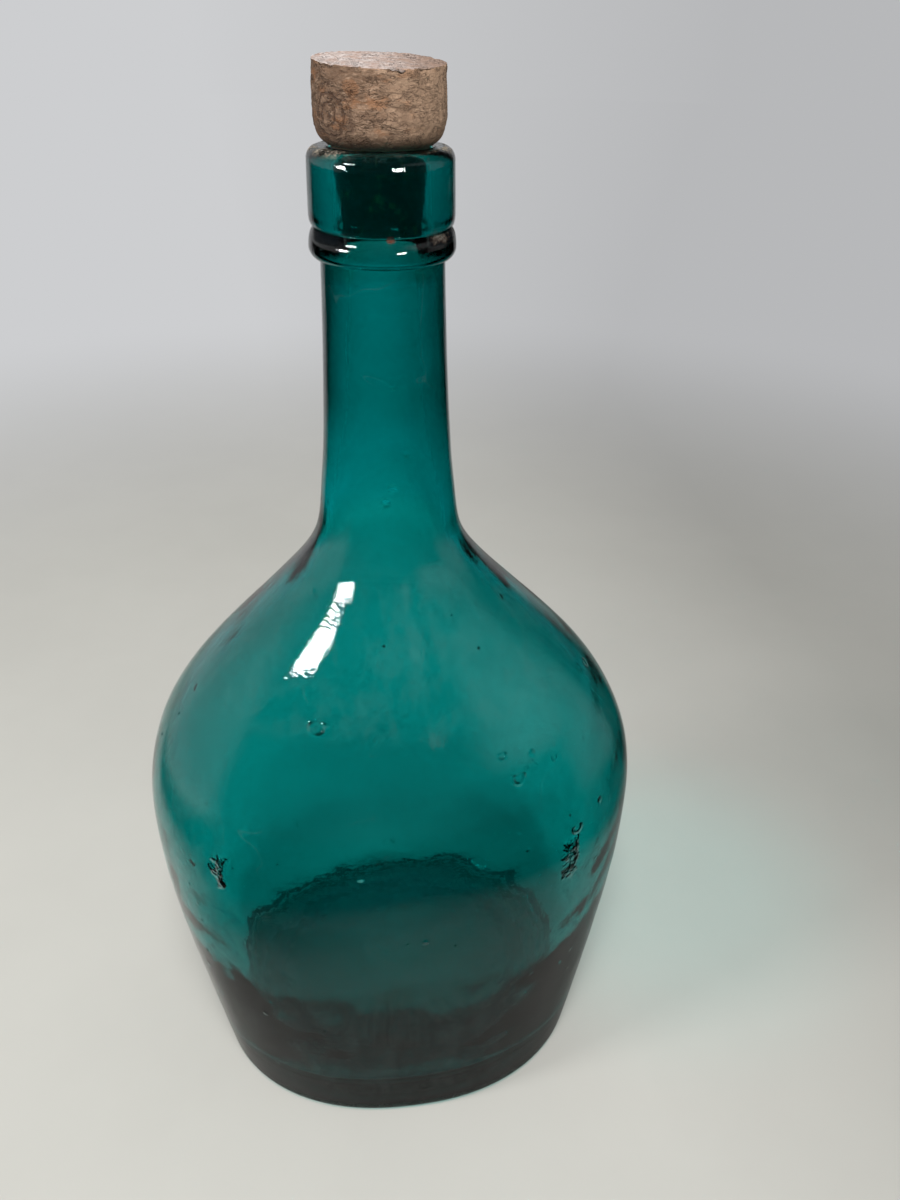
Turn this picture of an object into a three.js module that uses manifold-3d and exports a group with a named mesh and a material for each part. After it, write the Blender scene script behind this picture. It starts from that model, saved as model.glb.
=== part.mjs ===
// A small glass demijohn with its cork: a flattened oval body, a long round neck and an applied lip.
// Millimetres, +Z up. The origin is the middle of the foot, and X runs along the long axis of the oval.
import * as THREE from "three";
import { mergeVertices } from "three/addons/utils/BufferGeometryUtils.js";
import Module from "manifold-3d";

const wasm = await Module();
wasm.setup();

// Foot: the ring that the bottle stands on, and the push-up inside it
const footWidth = 125.6; // across the top of the heel curve, long way of the oval
const footDepth = 107.6; // the same, short way
const heelRadius = 5;
const footRingWidth = 6; // flat part that touches the table
const kickHeight = 12; // rise of the push-up at its middle
const kickFlat = 0.45; // share of the ring's radius over which its middle stays level
const kickFoot = 0.8; // and the share at which it comes down to the table

// Body
const bodyWidth = 148.6;
const bodyDepth = 108.8;
const widestHeight = 100;
const flankLean = 0.16; // outward slope of the side where it leaves the heel
const flankReach = 58; // length of the straight run of the side above the heel
const bellyReach = 25; // half length of the upright run of the side at the widest height
const ovalPower = 2.25; // 2 is a true ellipse, more is squarer at the corners of the oval

// Shoulder and neck
const shoulderWidth = 84.2; // where the shoulder turns from full to hollow
const shoulderRise = 63; // from the widest height up to there
const shoulderSlope = THREE.MathUtils.degToRad(45);
const shoulderReach = 36;
const neckRootWidth = 34.6;
const neckRootRise = 43; // from the shoulder's turn up to the root of the neck
const neckRootLean = 0.12;
const neckRootReach = 18;
const neckTopWidth = 29.2;
const neckLength = 54.4; // from its root to the bead
const neckBend = 0.25; // share of that length in which the lean at the root straightens
const roundFrom = 48; // above the widest height, where the oval starts to turn round
const roundTo = 102; // and where it is quite round

// Bead and lip
const beadWidth = 34.3;
const beadHeight = 7;
const grooveWidth = 31.2;
const lipFootWidth = 33.7;
const lipTopWidth = 33.2;
const lipHeight = 16.7; // from the groove to the mouth
const lipFootRadius = 2.6;
const lipTopRadius = 2.7;

// Glass
const bodyWall = 4;
const neckWall = 3.7;
const floorThickness = 5.5;
const floorFlat = 0.4; // share of the floor's radius over which its middle stays level
const floorFoot = 0.7; // and the share at which it comes down to the inner heel
const innerHeelRise = 14; // from the floor's edge up to where the inside of the side starts
const innerHeelRun = 15;
const innerSideStart = 0.14; // share of the flank's curve that the inner heel takes up
const innerNeckEnd = 0.9; // share of the neck's curve below the step of the cork's seat

// Mouth and cork
const mouthWidth = 22.6;
const mouthEdgeRadius = 1;
const seatTaper = 0.035; // each side narrows by this for each millimetre down
const corkClearance = 0.3;
const corkSeatLength = 17.5; // part of the cork inside the neck
const corkWidth = 29.5; // of the part that stands out, which never was squeezed
const corkSwellRise = 6.4; // over which the squeezed part opens out to the full width
const swellSpread = 0.6; // how far out the swell leans over the lip before it turns up
const swellLift = 0.12; // its rise at that point, as a share of the whole
const swellReach = 0.55; // share of the rise over which it comes upright
const corkHeight = 16.4; // of the part that stands out, at its middle
const corkBottomEdge = 1.5;
const corkTopTaper = 0.25; // each side, from the swell to the cut
const corkCutForward = THREE.MathUtils.degToRad(3.7); // the top is cut lower at the front
const corkCutSideways = THREE.MathUtils.degToRad(1.2); // and at the right

const segments = 48;
const weldDistance = 0.01; // points of a half section nearer than this are one

// Heights that follow from the sizes above
const shoulderHeight = widestHeight + shoulderRise;
const neckRootHeight = shoulderHeight + neckRootRise;
const beadBottom = neckRootHeight + neckLength;
const grooveHeight = beadBottom + beadHeight;
const mouthHeight = grooveHeight + lipHeight;
const corkBottom = mouthHeight - corkSeatLength;

const at = (radius, height) => new THREE.Vector2(radius, height);

// Points of a curve in the half section, moved in by the wall along the curve's normal.
// The curves run upwards, so their normal towards the glass is on the left.
function pointsOf(curve, steps, inset = 0, from = 0, to = 1) {
  return Array.from({ length: steps + 1 }, (_, i) => {
    const t = THREE.MathUtils.lerp(from, to, i / steps);
    const along = curve.getTangent(t);
    return curve.getPoint(t).add(at(-along.y, along.x).multiplyScalar(inset));
  });
}

// A quarter of an ellipse from start to end, leaving the start along "leaving".
function quarter(start, end, leaving, steps) {
  return Array.from({ length: steps + 1 }, (_, i) => {
    const turn = ((i / steps) * Math.PI) / 2;
    const [first, second] = [Math.sin(turn), 1 - Math.cos(turn)];
    const [u, v] = leaving === "out" ? [first, second] : [second, first];
    return at(THREE.MathUtils.lerp(start.x, end.x, u), THREE.MathUtils.lerp(start.y, end.y, v));
  });
}

// The outer line of the side: four curves that share their tangents, from the heel to the bead.
const flank = new THREE.CubicBezierCurve(
  at(footWidth / 2, heelRadius),
  at(footWidth / 2 + flankLean * flankReach, heelRadius + flankReach),
  at(bodyWidth / 2, widestHeight - bellyReach),
  at(bodyWidth / 2, widestHeight),
);
const shoulderStep = at(-Math.cos(shoulderSlope), Math.sin(shoulderSlope)).multiplyScalar(shoulderReach);
const shoulderTurn = at(shoulderWidth / 2, shoulderHeight);
const shoulder = new THREE.CubicBezierCurve(
  at(bodyWidth / 2, widestHeight),
  at(bodyWidth / 2, widestHeight + bellyReach),
  shoulderTurn.clone().sub(shoulderStep),
  shoulderTurn,
);
const neckRoot = new THREE.CubicBezierCurve(
  shoulderTurn,
  shoulderTurn.clone().add(shoulderStep),
  at(neckRootWidth / 2 + neckRootLean * neckRootReach, neckRootHeight - neckRootReach),
  at(neckRootWidth / 2, neckRootHeight),
);
const neck = new THREE.QuadraticBezierCurve(
  at(neckRootWidth / 2, neckRootHeight),
  at(neckRootWidth / 2 - neckRootLean * neckBend * neckLength, neckRootHeight + neckBend * neckLength),
  at(neckTopWidth / 2, beadBottom),
);

// Outside of the bottle, from the middle of the foot up to the mouth
function outsideLine() {
  const ringOut = footWidth / 2 - heelRadius;
  const ringIn = ringOut - footRingWidth;
  const kick = new THREE.CubicBezierCurve(
    at(0, kickHeight),
    at(ringIn * kickFlat, kickHeight),
    at(ringIn * kickFoot, 0),
    at(ringIn, 0),
  );
  const beadOut = at(beadWidth / 2, beadBottom + beadHeight / 2);
  const lipFootOut = at(lipFootWidth / 2, grooveHeight + lipFootRadius);
  const lipTopOut = at(lipTopWidth / 2, mouthHeight - lipTopRadius);
  return [
    ...pointsOf(kick, 6),
    ...quarter(at(ringOut, 0), at(footWidth / 2, heelRadius), "out", 3),
    ...pointsOf(flank, 7),
    ...pointsOf(shoulder, 9),
    ...pointsOf(neckRoot, 9),
    ...pointsOf(neck, 4),
    ...quarter(at(neckTopWidth / 2, beadBottom), beadOut, "out", 3),
    ...quarter(beadOut, at(grooveWidth / 2, grooveHeight), "up", 3),
    ...quarter(at(grooveWidth / 2, grooveHeight), lipFootOut, "out", 2),
    ...quarter(lipTopOut, at(lipTopWidth / 2 - lipTopRadius, mouthHeight), "up", 3),
  ];
}

const seatWidthAt = (height) => mouthWidth - 2 * seatTaper * (mouthHeight - height);

// Inside of the bottle, from the mouth down to the middle of the floor
function insideLine() {
  const seatEnd = at(seatWidthAt(corkBottom) / 2, corkBottom);
  const mouthEdge = at(seatWidthAt(mouthHeight - mouthEdgeRadius) / 2, mouthHeight - mouthEdgeRadius);
  const sides = [
    ...pointsOf(flank, 6, bodyWall, innerSideStart),
    ...pointsOf(shoulder, 7, bodyWall),
    ...pointsOf(neckRoot, 7, bodyWall),
    ...pointsOf(neck, 3, neckWall, 0, innerNeckEnd),
  ].reverse();
  const sideEnd = sides[sides.length - 1];
  const floorEdge = at(sideEnd.x - innerHeelRun, sideEnd.y - innerHeelRise);
  const floor = new THREE.CubicBezierCurve(
    floorEdge,
    at(floorEdge.x * floorFoot, floorEdge.y),
    at(floorEdge.x * floorFlat, kickHeight + floorThickness),
    at(0, kickHeight + floorThickness),
  );
  return [
    ...quarter(at(mouthEdge.x + mouthEdgeRadius, mouthHeight), mouthEdge, "out", 2),
    seatEnd,
    ...sides,
    ...quarter(sideEnd, floorEdge, "up", 4),
    ...pointsOf(floor, 4),
  ];
}

// Revolves a half section about the upright axis. Points that meet are kept once.
function revolve(points) {
  const line = points.filter((p, i) => i === 0 || p.distanceTo(points[i - 1]) > weldDistance);
  const solid = new THREE.LatheGeometry(line, segments).rotateX(Math.PI / 2);
  solid.deleteAttribute("uv");
  solid.deleteAttribute("normal");
  return mergeVertices(solid, weldDistance / 10);
}

// Depth over width of the oval at a height: the foot is fuller than the belly, and the neck is round.
function depthRatio(height) {
  const belly = THREE.MathUtils.smoothstep(height, 0, widestHeight - heelRadius);
  const round = THREE.MathUtils.smoothstep(height, widestHeight + roundFrom, widestHeight + roundTo);
  const oval = THREE.MathUtils.lerp(footDepth / footWidth, bodyDepth / bodyWidth, belly);
  return { ratio: THREE.MathUtils.lerp(oval, 1, round), round };
}

// Turns each round section into the oval of its height.
function flatten(solid) {
  const position = solid.getAttribute("position");
  for (let i = 0; i < position.count; i++) {
    const [x, y, z] = [position.getX(i), position.getY(i), position.getZ(i)];
    const radius = Math.hypot(x, y);
    if (radius === 0) continue;
    const { ratio, round } = depthRatio(z);
    const power = THREE.MathUtils.lerp(2 / ovalPower, 1, round);
    const squarer = (part) => Math.sign(part) * Math.abs(part / radius) ** power * radius;
    position.setXYZ(i, squarer(x), squarer(y) * ratio, z);
  }
  return solid;
}

// The cork: tapered where the neck squeezes it, full width above, before its top is cut.
function corkBlank() {
  const seatTop = at(seatWidthAt(mouthHeight) / 2 - corkClearance, mouthHeight);
  const seatEnd = at(seatWidthAt(corkBottom + corkBottomEdge) / 2 - corkClearance, corkBottom + corkBottomEdge);
  const full = at(corkWidth / 2, mouthHeight + corkSwellRise);
  const blankTop = at(corkWidth / 2 - corkTopTaper, mouthHeight + 1.5 * corkHeight);
  const swell = new THREE.CubicBezierCurve(
    seatTop,
    at(seatTop.x + (full.x - seatTop.x) * swellSpread, seatTop.y + corkSwellRise * swellLift),
    at(full.x, full.y - corkSwellRise * swellReach),
    full,
  );
  return revolve([
    at(0, corkBottom),
    ...quarter(at(seatEnd.x - corkBottomEdge, corkBottom), seatEnd, "out", 3),
    ...pointsOf(swell, 7),
    blankTop,
    at(0, blankTop.y),
  ]);
}

const solidOf = (geometry) =>
  new wasm.Manifold(
    new wasm.Mesh({
      numProp: 3,
      vertProperties: geometry.getAttribute("position").array,
      triVerts: geometry.index.array,
    }),
  );

function geometryOf(solid) {
  const { vertProperties, triVerts } = solid.getMesh();
  return new THREE.BufferGeometry()
    .setAttribute("position", new THREE.BufferAttribute(vertProperties, 3))
    .setIndex(new THREE.BufferAttribute(triVerts, 1));
}

// The slanting top of the cork, cut by a block whose underside is the knife's plane
function corkGeometry() {
  const block = new THREE.BoxGeometry(corkWidth * 2, corkWidth * 2, corkWidth);
  block.translate(0, 0, corkWidth / 2);
  block.applyMatrix4(
    new THREE.Matrix4()
      .makeRotationFromEuler(new THREE.Euler(corkCutForward, corkCutSideways, 0))
      .setPosition(0, 0, mouthHeight + corkHeight),
  );
  block.deleteAttribute("uv");
  block.deleteAttribute("normal");
  return geometryOf(solidOf(corkBlank()).subtract(solidOf(mergeVertices(block))));
}

const glass = new THREE.MeshStandardMaterial({
  color: "#0b7a72",
  roughness: 0.05,
  metalness: 0,
  transparent: true,
  opacity: 0.65,
});
const cork = new THREE.MeshStandardMaterial({ color: "#a88a6b", roughness: 0.9, metalness: 0 });

const bottle = new THREE.Mesh(flatten(revolve([...outsideLine(), ...insideLine()])), glass);
bottle.name = "glass_bottle";

const stopper = new THREE.Mesh(corkGeometry(), cork);
stopper.name = "cork_stopper";

const demijohn = new THREE.Group();
demijohn.add(bottle, stopper);

export default demijohn;
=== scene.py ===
# A small teal glass demijohn with its cut cork, dressed over its measured frame.
import bpy
import math
import numpy as np
from mathutils import Matrix, Vector


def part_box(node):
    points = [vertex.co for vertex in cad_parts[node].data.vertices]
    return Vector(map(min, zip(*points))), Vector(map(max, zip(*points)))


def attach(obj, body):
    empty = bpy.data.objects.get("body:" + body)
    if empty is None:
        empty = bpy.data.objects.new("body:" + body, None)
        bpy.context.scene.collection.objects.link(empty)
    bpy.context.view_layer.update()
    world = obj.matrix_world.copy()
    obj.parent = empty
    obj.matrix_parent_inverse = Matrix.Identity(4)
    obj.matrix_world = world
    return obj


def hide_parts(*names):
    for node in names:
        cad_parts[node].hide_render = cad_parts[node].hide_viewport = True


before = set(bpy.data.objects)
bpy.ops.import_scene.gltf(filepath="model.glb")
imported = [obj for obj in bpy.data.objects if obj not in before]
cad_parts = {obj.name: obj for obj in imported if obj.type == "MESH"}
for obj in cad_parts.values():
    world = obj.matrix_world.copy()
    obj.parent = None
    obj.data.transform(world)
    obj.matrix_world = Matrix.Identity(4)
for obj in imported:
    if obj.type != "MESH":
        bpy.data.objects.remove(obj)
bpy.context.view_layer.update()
glassLow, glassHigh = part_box("glass_bottle")
corkLow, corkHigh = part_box("cork_stopper")
print("frame: glass", tuple(glassHigh - glassLow), "cork", tuple(corkHigh - corkLow))

# Small tools for lines, rings and meshes


def bezier(points, steps=120):
    # Sum over i of C(n, i) (1 - t)^(n - i) t^i times point i, for t from 0 to 1.
    t = np.linspace(0, 1, steps)[:, None]
    n = len(points) - 1
    return sum(math.comb(n, i) * (1 - t) ** (n - i) * t**i * np.array(p) for i, p in enumerate(points))


def quarter(start, end, leaving, steps=30):
    # A quarter ellipse: across = sin a and up = 1 - cos a where it leaves outwards, swapped where upwards.
    a = np.linspace(0, math.pi / 2, steps)
    across, up = np.sin(a), 1 - np.cos(a)
    if leaving == "up":
        across, up = up, across
    return np.stack([start[0] + across * (end[0] - start[0]), start[1] + up * (end[1] - start[1])], 1)


def ease(x, low, high):
    # 3t^2 - 2t^3, where t is how far x is from low to high, kept within 0 and 1.
    t = np.clip((x - low) / (high - low), 0, 1)
    return t * t * (3 - 2 * t)


def inset(line, wall):
    # Each point moved left of the line's own direction by the wall.
    along = np.gradient(line, axis=0)
    along /= np.linalg.norm(along, axis=1, keepdims=True)
    return line + wall * np.stack([-along[:, 1], along[:, 0]], 1)


def spread(line, count, turnWeight):
    # count points along the line, spaced evenly in its length plus turnWeight for each radian that it turns.
    step = np.diff(line, axis=0)
    size = np.hypot(*step.T)
    moving = size > 1e-7  # leaves out points that are there twice
    line, step, size = np.r_[line[:1], line[1:][moving]], step[moving], size[moving]
    turn = np.abs(np.diff(np.unwrap(np.arctan2(step[:, 1], step[:, 0]))))
    run = np.r_[0, np.cumsum(size + turnWeight * np.r_[turn, 0])]
    at = np.linspace(0, run[-1], count)
    return np.stack([np.interp(at, run, line[:, 0]), np.interp(at, run, line[:, 1])], 1)


def ripple(points, wavelength, seed, waves=9):
    # Mean of sin(k.p + phase) over random directions k of length 2 pi / wavelength, times the root of waves.
    rng = np.random.default_rng(seed)
    k = rng.normal(size=(waves, 3))
    length = np.linalg.norm(k, axis=1, keepdims=True)
    k *= 2 * math.pi / wavelength * rng.uniform(0.7, 1.3, (waves, 1)) / length
    phase = rng.uniform(0, 2 * math.pi, waves)
    return np.sin(points @ k.T + phase).mean(-1) * math.sqrt(waves)


def ripples(points, parts):
    # Sum of ripples, each with its wavelength, its seed and its share.
    return sum(ripple(points, wavelength, seed) * share for wavelength, seed, share in parts)


def sheetMesh(name, points, firstPole=False, lastPole=False, masks=None):
    # A grid of points, rows by columns, as quads, with the last column joined to the first.
    # A pole closes the first or the last row in the mean of its points.
    rows, columns = points.shape[:2]
    here = np.arange(rows * columns).reshape(rows, columns)
    ahead = np.roll(here, -1, 1)
    vertices = points.reshape(-1, 3)
    faces = np.stack([here[:-1], ahead[:-1], ahead[1:], here[1:]], -1).reshape(-1, 4).tolist()
    for wanted, row, starts, ends in ((firstPole, 0, ahead, here), (lastPole, -1, here, ahead)):
        if wanted:
            vertices = np.r_[vertices, points[row].mean(0)[None]]
            faces += [[len(vertices) - 1, a, b] for a, b in zip(starts[row].tolist(), ends[row].tolist())]
    mesh = bpy.data.meshes.new(name)
    mesh.from_pydata(vertices.tolist(), [], faces)
    mesh.polygons.foreach_set("use_smooth", np.ones(len(faces), bool))
    for mask, values in (masks or {}).items():
        layer = mesh.attributes.new(mask, "FLOAT", "POINT")
        flat = np.asarray(values, np.float32).reshape(-1)
        poles = np.full(len(vertices) - len(flat), flat[-1], np.float32)
        layer.data.foreach_set("value", np.r_[flat, poles])
    mesh.update()
    piece = bpy.data.objects.new(name, mesh)
    bpy.context.scene.collection.objects.link(piece)
    return piece


# The bottle, one shell: the outside from the foot's middle to the mouth, then the inside down to the floor

glass = dict(
    footWidth=0.1256, footDepth=0.1076, heelRadius=0.005, footRing=0.006, kick=0.012,
    bodyWidth=0.1486, bodyDepth=0.1088, widestHeight=0.100,
    flankLean=0.16, flankReach=0.058, bellyReach=0.025, ovalPower=2.25,
    shoulderWidth=0.0842, shoulderHeight=0.163, shoulderReach=0.036,
    neckRootWidth=0.0346, neckRootHeight=0.206, neckRootLean=0.12, neckRootReach=0.018,
    neckTopWidth=0.0292, beadBottom=0.2604, roundFrom=0.148, roundTo=0.202,
    beadWidth=0.0343, beadSag=0.0007, grooveWidth=0.0312, grooveHeight=0.2674,
    lipFootWidth=0.0337, lipFootRadius=0.0026, lipTopWidth=0.0332, lipTopRadius=0.0027,
    mouthWidth=0.0226, mouthEdge=0.001, seatTaper=0.035, seatEnd=0.2666, seatRun=0.010,
    bodyWall=0.004, heelWall=0.0047, heelWallFrom=0.010, heelWallTo=0.045,
    neckWall=0.0066, neckWallFrom=0.182, neckWallTo=0.228,
    floorThickness=0.0045, rimThickness=0.0090, innerHeelRise=0.008, innerHeelRun=0.008,
    poleRadius=0.0002, domeFlat=0.45, domeSteep=0.8,  # handles of the push-up and the floor, in radii
    floorTilt=0.03, floorTiltFade=(0.02, 0.05),  # the inside floor falls to the back, up to this height
    heelShift=0.0025, heelShiftFade=(0.02, 0.07),  # and the inside of the heel lies off the middle
    rows=455, columns=200, turnWeight=0.012,  # the mesh, and metres for each radian of turn
    waves=((0.040, 3, 0.45), (0.017, 4, 0.35), (0.008, 5, 0.12)),  # wavelength, seed and share
    waveOutside=0.00006, waveInside=0.00020,  # how far the blown surfaces wander
    waveTop=2.2,  # the outside only wanders inwards
    footFade=(0.004, 0.03), seatFade=(0.25, 0.26),  # where the wandering starts and stops
    calmPlace=(-0.020, -0.025, 0.170), calmReach=0.020, calmShare=0.85,  # even glass that mirrors a lamp
    leanReach=0.045, calmLean=-0.08,  # how the inner wall slants there
    tint=(0.0, 0.875, 0.872), density=950,  # what a metre of the glass takes out of the light
)


def sideLine(g):
    # Four Bezier curves that share their tangents, heel to bead: flank, shoulder, neck root and neck.
    turn = np.array([g["shoulderWidth"] / 2, g["shoulderHeight"]])
    slope = g["shoulderReach"] * math.sqrt(0.5) * np.array([-1, 1])
    belly, widest, heel = g["bodyWidth"] / 2, g["widestHeight"], g["heelRadius"]
    foot, root, top = g["footWidth"] / 2, g["neckRootWidth"] / 2, g["neckTopWidth"] / 2
    rootHeight, neckLength = g["neckRootHeight"], g["beadBottom"] - g["neckRootHeight"]
    lean, reach = g["neckRootLean"], g["neckRootReach"]
    flank = bezier([(foot, heel), (foot + g["flankLean"] * g["flankReach"], heel + g["flankReach"]),
                    (belly, widest - g["bellyReach"]), (belly, widest)])
    shoulder = bezier([(belly, widest), (belly, widest + g["bellyReach"]), turn - slope, turn])
    neckRoot = bezier([turn, turn + slope, (root + lean * reach, rootHeight - reach), (root, rootHeight)])
    neck = bezier([(root, rootHeight), (root - lean * neckLength / 4, rootHeight + neckLength / 4),
                   (top, g["beadBottom"])])
    return flank, shoulder, neckRoot, neck


def outsideLine(g):
    # Radius and height from the push-up's middle, over foot, side, bead and lip, to the mouth.
    ringOut = g["footWidth"] / 2 - g["heelRadius"]
    ringIn = ringOut - g["footRing"]
    kick = bezier([(g["poleRadius"], g["kick"]), (ringIn * g["domeFlat"], g["kick"]),
                   (ringIn * g["domeSteep"], 0), (ringIn, 0)])
    beadOut = (g["beadWidth"] / 2, (g["beadBottom"] + g["grooveHeight"]) / 2 - g["beadSag"])
    groove = (g["grooveWidth"] / 2, g["grooveHeight"])
    lipTop = (g["lipTopWidth"] / 2, glassHigh.z - g["lipTopRadius"])
    return np.concatenate([
        kick, quarter((ringOut, 0), (g["footWidth"] / 2, g["heelRadius"]), "out"), *sideLine(g),
        quarter((g["neckTopWidth"] / 2, g["beadBottom"]), beadOut, "out"), quarter(beadOut, groove, "up"),
        quarter(groove, (g["lipFootWidth"] / 2, g["grooveHeight"] + g["lipFootRadius"]), "out"),
        quarter(lipTop, (lipTop[0] - g["lipTopRadius"], glassHigh.z), "up")])


def insideLine(g):
    # Radius and height from the mouth, down the seat, then the side less its wall, to the floor's middle.
    edge = g["mouthWidth"] / 2 - g["seatTaper"] * g["mouthEdge"]
    seatEnd = (g["mouthWidth"] / 2 - g["seatTaper"] * (glassHigh.z - g["seatEnd"]), g["seatEnd"])
    side = spread(np.concatenate(sideLine(g)), count=500, turnWeight=0)
    height = side[:, 1:]
    heelShadeShare = 1 - ease(height, g["heelWallFrom"], g["heelWallTo"])
    neckShare = ease(height, g["neckWallFrom"], g["neckWallTo"])
    side = inset(side, g["bodyWall"] + (g["heelWall"] - g["bodyWall"]) * heelShadeShare
                 + (g["neckWall"] - g["bodyWall"]) * neckShare)
    floorTop, floorRim = g["kick"] + g["floorThickness"], g["rimThickness"]
    kept = (side[:, 1] > floorRim + g["innerHeelRise"]) & (side[:, 1] < g["seatEnd"] - g["seatRun"])
    side = side[kept][::-1]
    floorEdge = (side[-1, 0] - g["innerHeelRun"], floorRim)
    floor = bezier([floorEdge, (floorEdge[0] * g["domeSteep"], floorRim),
                    (floorEdge[0] * g["domeFlat"], floorTop), (g["poleRadius"], floorTop)])
    return np.concatenate([
        quarter((edge + g["mouthEdge"], glassHigh.z), (edge, glassHigh.z - g["mouthEdge"]), "out"),
        [seatEnd], side, quarter(side[-1], floorEdge, "up"), floor])


def ovalRing(g, radius, height, angle):
    # x = r sgn(c)|c|^e and y = k r sgn(s)|s|^e, with c and s the angle's cosine and sine:
    # an oval of depth k and power 2/e, which turns into a circle up the shoulder.
    rounded = ease(height, g["roundFrom"], g["roundTo"])
    belly = ease(height, 0, g["widestHeight"] - g["heelRadius"])
    depth = (1 - belly) * g["footDepth"] / g["footWidth"] + belly * g["bodyDepth"] / g["bodyWidth"]
    k, e = depth * (1 - rounded) + rounded, 2 / g["ovalPower"] * (1 - rounded) + rounded
    c, s = np.cos(angle), np.sin(angle)
    return np.stack([radius * np.sign(c) * np.abs(c) ** e, k * radius * np.sign(s) * np.abs(s) ** e,
                     height + 0 * angle], -1)


def gridNormals(points):
    # Unit cross product of the grid's directions, columns by rows, which points out of a ring that climbs.
    down, across = np.gradient(points, axis=0), np.roll(points, -1, 1) - np.roll(points, 1, 1)
    n = np.cross(across, down)
    return n / np.maximum(np.linalg.norm(n, axis=-1, keepdims=True), 1e-12)


def makeBottle(g):
    # The two lines revolved into ovals, and each point moved along its normal by a smooth random wave.
    # The wave dies out at the foot, at the seat and in the calm place, where the inner wall slants instead.
    inside = insideLine(g)
    line = spread(np.concatenate([outsideLine(g), inside]), g["rows"], g["turnWeight"])
    topRow = int(np.argmin(np.hypot(*(line - inside[0]).T)))
    within = (np.arange(g["rows"]) > topRow)[:, None] + np.zeros(g["columns"])
    angle = np.linspace(0, 2 * math.pi, g["columns"], endpoint=False)[None, :]
    points = ovalRing(g, line[:, :1], line[:, 1:], angle)
    height = points[..., 2]
    height -= g["floorTilt"] * points[..., 1] * (1 - ease(height, *g["floorTiltFade"])) * within
    points[..., 1] += g["heelShift"] * (1 - ease(height, *g["heelShiftFade"])) * within
    fromCalm = ((points - g["calmPlace"]) ** 2).sum(-1)
    steady = ease(height, *g["footFade"]) * (1 - ease(height, *g["seatFade"]) * within)
    steady = steady * (1 - g["calmShare"] * np.exp(-fromCalm / g["calmReach"] ** 2))
    wave = ripples(points, g["waves"]) - g["waveTop"] * (within == 0)
    slant = g["calmLean"] * np.exp(-fromCalm / g["leanReach"] ** 2) * (height - g["calmPlace"][2])
    move = np.where(within > 0, g["waveInside"], g["waveOutside"]) * steady * wave + within * slant
    points = points + gridNormals(points) * move[..., None]
    return sheetMesh("glassBottle", points, firstPole=True, lastPole=True, masks={"inside": within})


bottle = makeBottle(glass)
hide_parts("glass_bottle")
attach(bottle, "bottle")
print("bottle:", len(bottle.data.polygons), "faces")

# The cork: squeezed where the neck holds it, full above, and cut off at a slant

cork = dict(
    seatRadius=0.0110, seatTaper=0.125, bottomEdge=0.0018, width=0.0295, topTaper=0.00025,
    swellRise=0.0064, swellOut=0.6, swellStart=0.12, swellEnd=0.55,  # and shares for its handles
    top=0.3005, cutForward=math.radians(3.7), cutSideways=math.radians(1.2),
    columns=320, lowerRows=110, lowerTurn=0.003, sideRows=50, rimRows=8, rimRowsOnCut=4, topRows=60,
    poleRadius=0.0002, poleShare=0.01,  # smallest rings, below and on the cut
    rough=0.00014, roughTop=1.6, roughFrom=0.001, roughTo=0.004,  # uneven skin above the mouth
    skinWaves=((0.004, 11, 0.5), (0.0016, 12, 0.35), (0.0008, 13, 0.25)),
    rimRound=0.0003, chip=0.0008, chipReach=0.0011, chipLevel=0.2,  # worn edge and the chips out of it
    chipWaves=((0.006, 14, 0.6), (0.0022, 15, 0.5)),
)


def cutHeight(c, x, y):
    # The knife's plane: top + y tan(forward) - x tan(sideways).
    return c["top"] + y * math.tan(c["cutForward"]) - x * math.tan(c["cutSideways"])


def lowerCork(c, full, mouth):
    # Radius and height from the lower end's middle, over its edge and the seat, up the swelling to full.
    low, seat, rise = corkLow.z, c["seatRadius"], c["swellRise"]
    seatEnd = seat - c["seatTaper"] * (mouth - low - c["bottomEdge"])
    end = quarter((seatEnd - c["bottomEdge"], low), (seatEnd, low + c["bottomEdge"]), "out", steps=12)
    swell = bezier([(seat, mouth), (seat + (full[0] - seat) * c["swellOut"], mouth + rise * c["swellStart"]),
                    (full[0], full[1] - rise * c["swellEnd"]), full], steps=60)
    return spread(np.concatenate([[(c["poleRadius"], low)], end, swell]), c["lowerRows"], c["lowerTurn"])


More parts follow.
